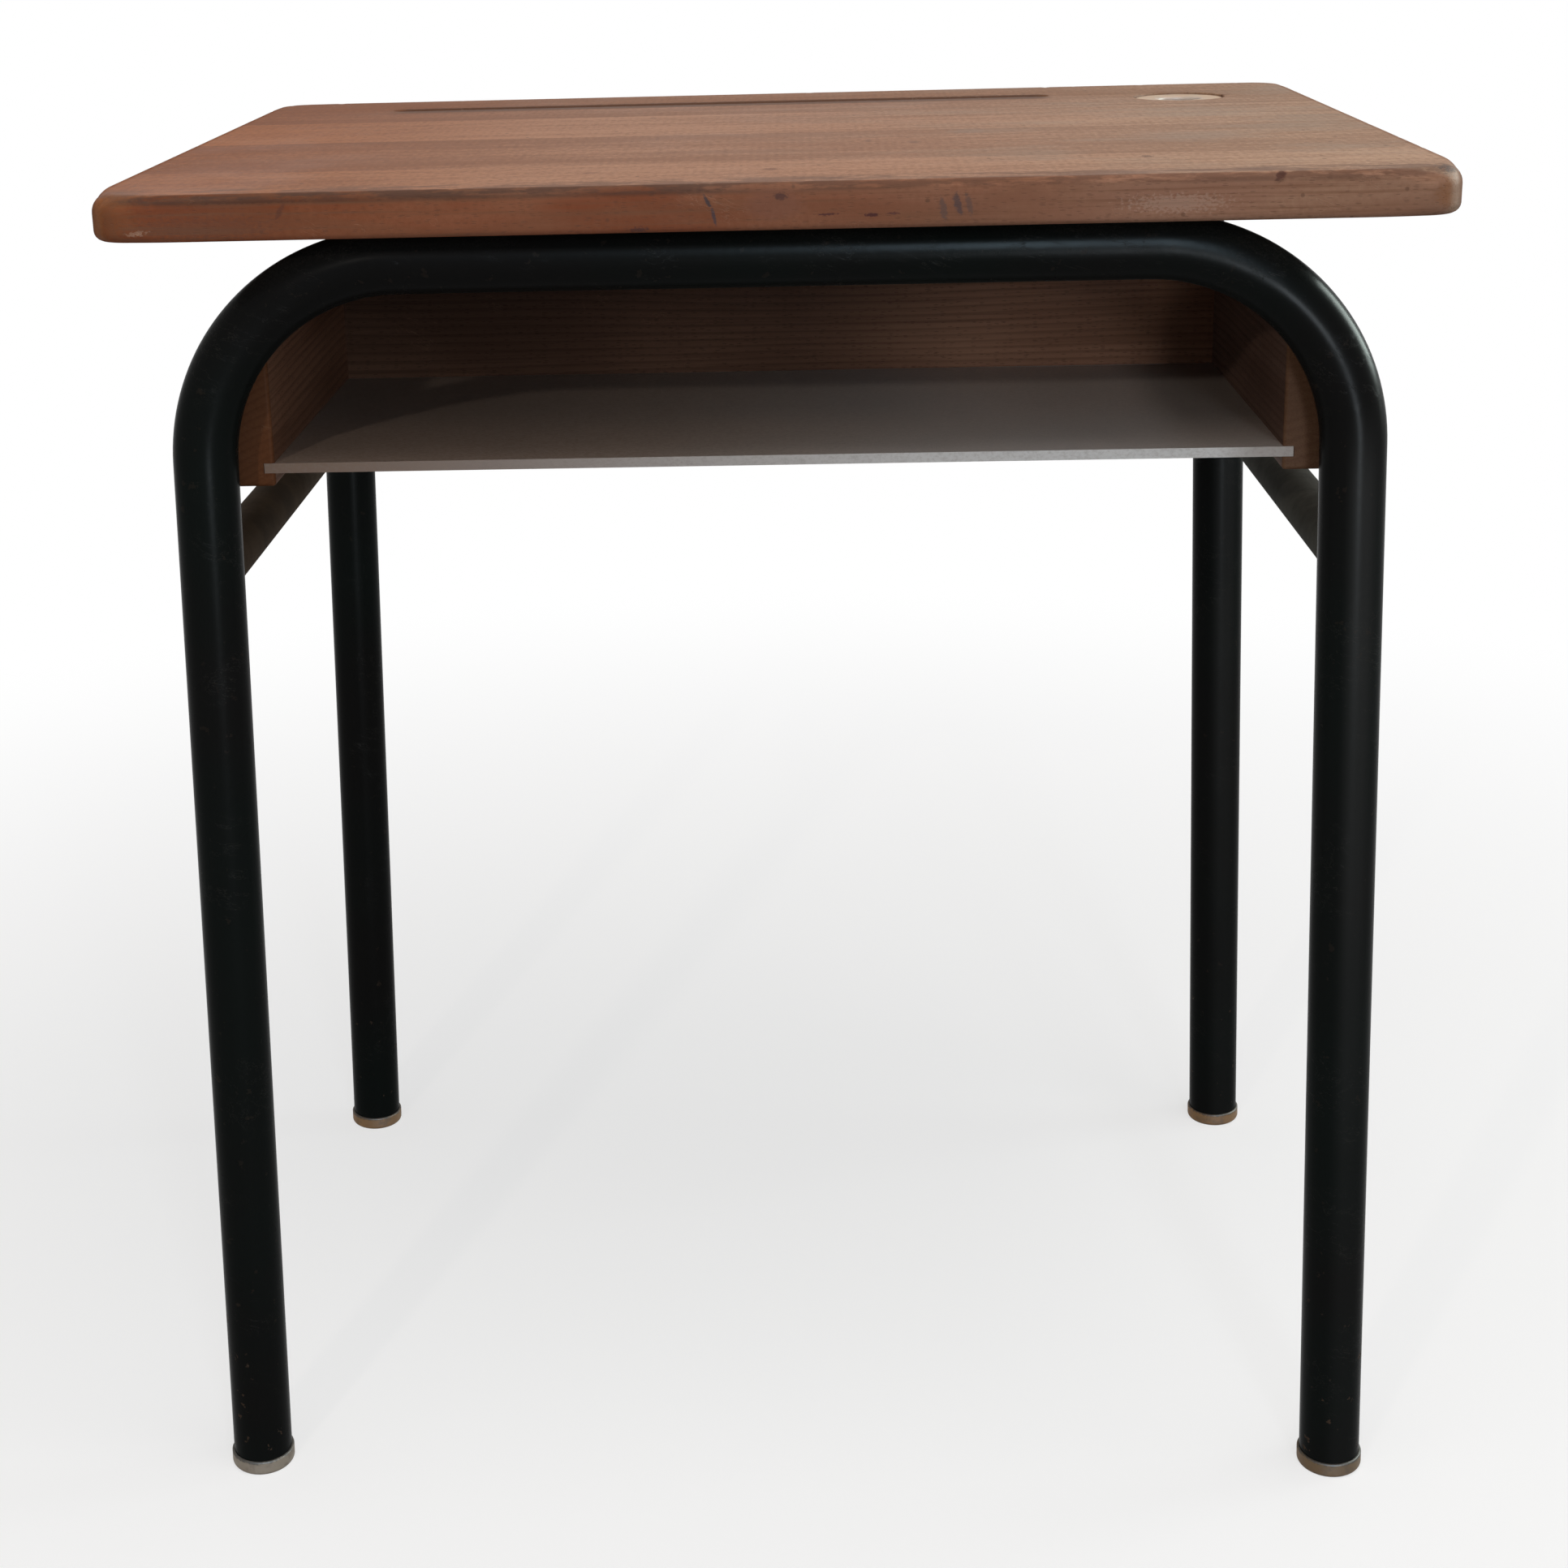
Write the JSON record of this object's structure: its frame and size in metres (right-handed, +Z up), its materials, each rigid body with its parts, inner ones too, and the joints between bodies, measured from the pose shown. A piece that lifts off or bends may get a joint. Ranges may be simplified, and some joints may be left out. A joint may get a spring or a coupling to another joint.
{
  "type": "school desk",
  "caption": "Single school desk: rounded beech top with pencil groove and drop-in inkwell, open book compartment, and bent-tube inverted-U leg frames joined by side rails.",
  "frame": {"origin": "on the floor, under the middle of the desktop", "axes": "+Z up; +Y away from the seated pupil, towards the inkwell side; +X to the pupil's right"},
  "size_m": [0.7, 0.52, 0.775],
  "materials": {
    "top_beech": "worn satin varnish",
    "panel_beech": "stained, satin varnish",
    "shelf_board": "smooth pressed board",
    "frame_paint": "dark satin enamel",
    "tan_glide": "scuffed matte plastic",
    "pale_glide": "scuffed matte plastic",
    "screw_steel": "dulled steel",
    "dowel_beech": "bare beech",
    "inkwell_glaze": "cream glaze"
  },
  "bodies": {
    "desk": {"desktop": "top_beech", "left_side_panel": "panel_beech", "right_side_panel": "panel_beech", "back_panel": "panel_beech", "shelf": "shelf_board", "front_leg_frame": "frame_paint", "rear_leg_frame": "frame_paint", "left_side_rail": "frame_paint", "right_side_rail": "frame_paint", "front_fixing_lugs": "frame_paint", "rear_fixing_lugs": "frame_paint", "panel_lugs": "frame_paint", "rail_weld_beads": "frame_paint", "front_left_glide": "pale_glide", "front_right_glide": "tan_glide", "rear_left_glide": "tan_glide", "rear_right_glide": "tan_glide", "lug_screws": "screw_steel", "side_screws": "screw_steel", "shelf_pins": "screw_steel", "panel_dowels": "dowel_beech"},
    "inkwell": {"inkwell": "inkwell_glaze"}
  },
  "joints": [
    {"name": "inkwell_lift", "type": "slide", "parent": "desk", "child": "inkwell", "axis": [0, 0, 1], "range_m": [0, 0.07]}
  ]
}
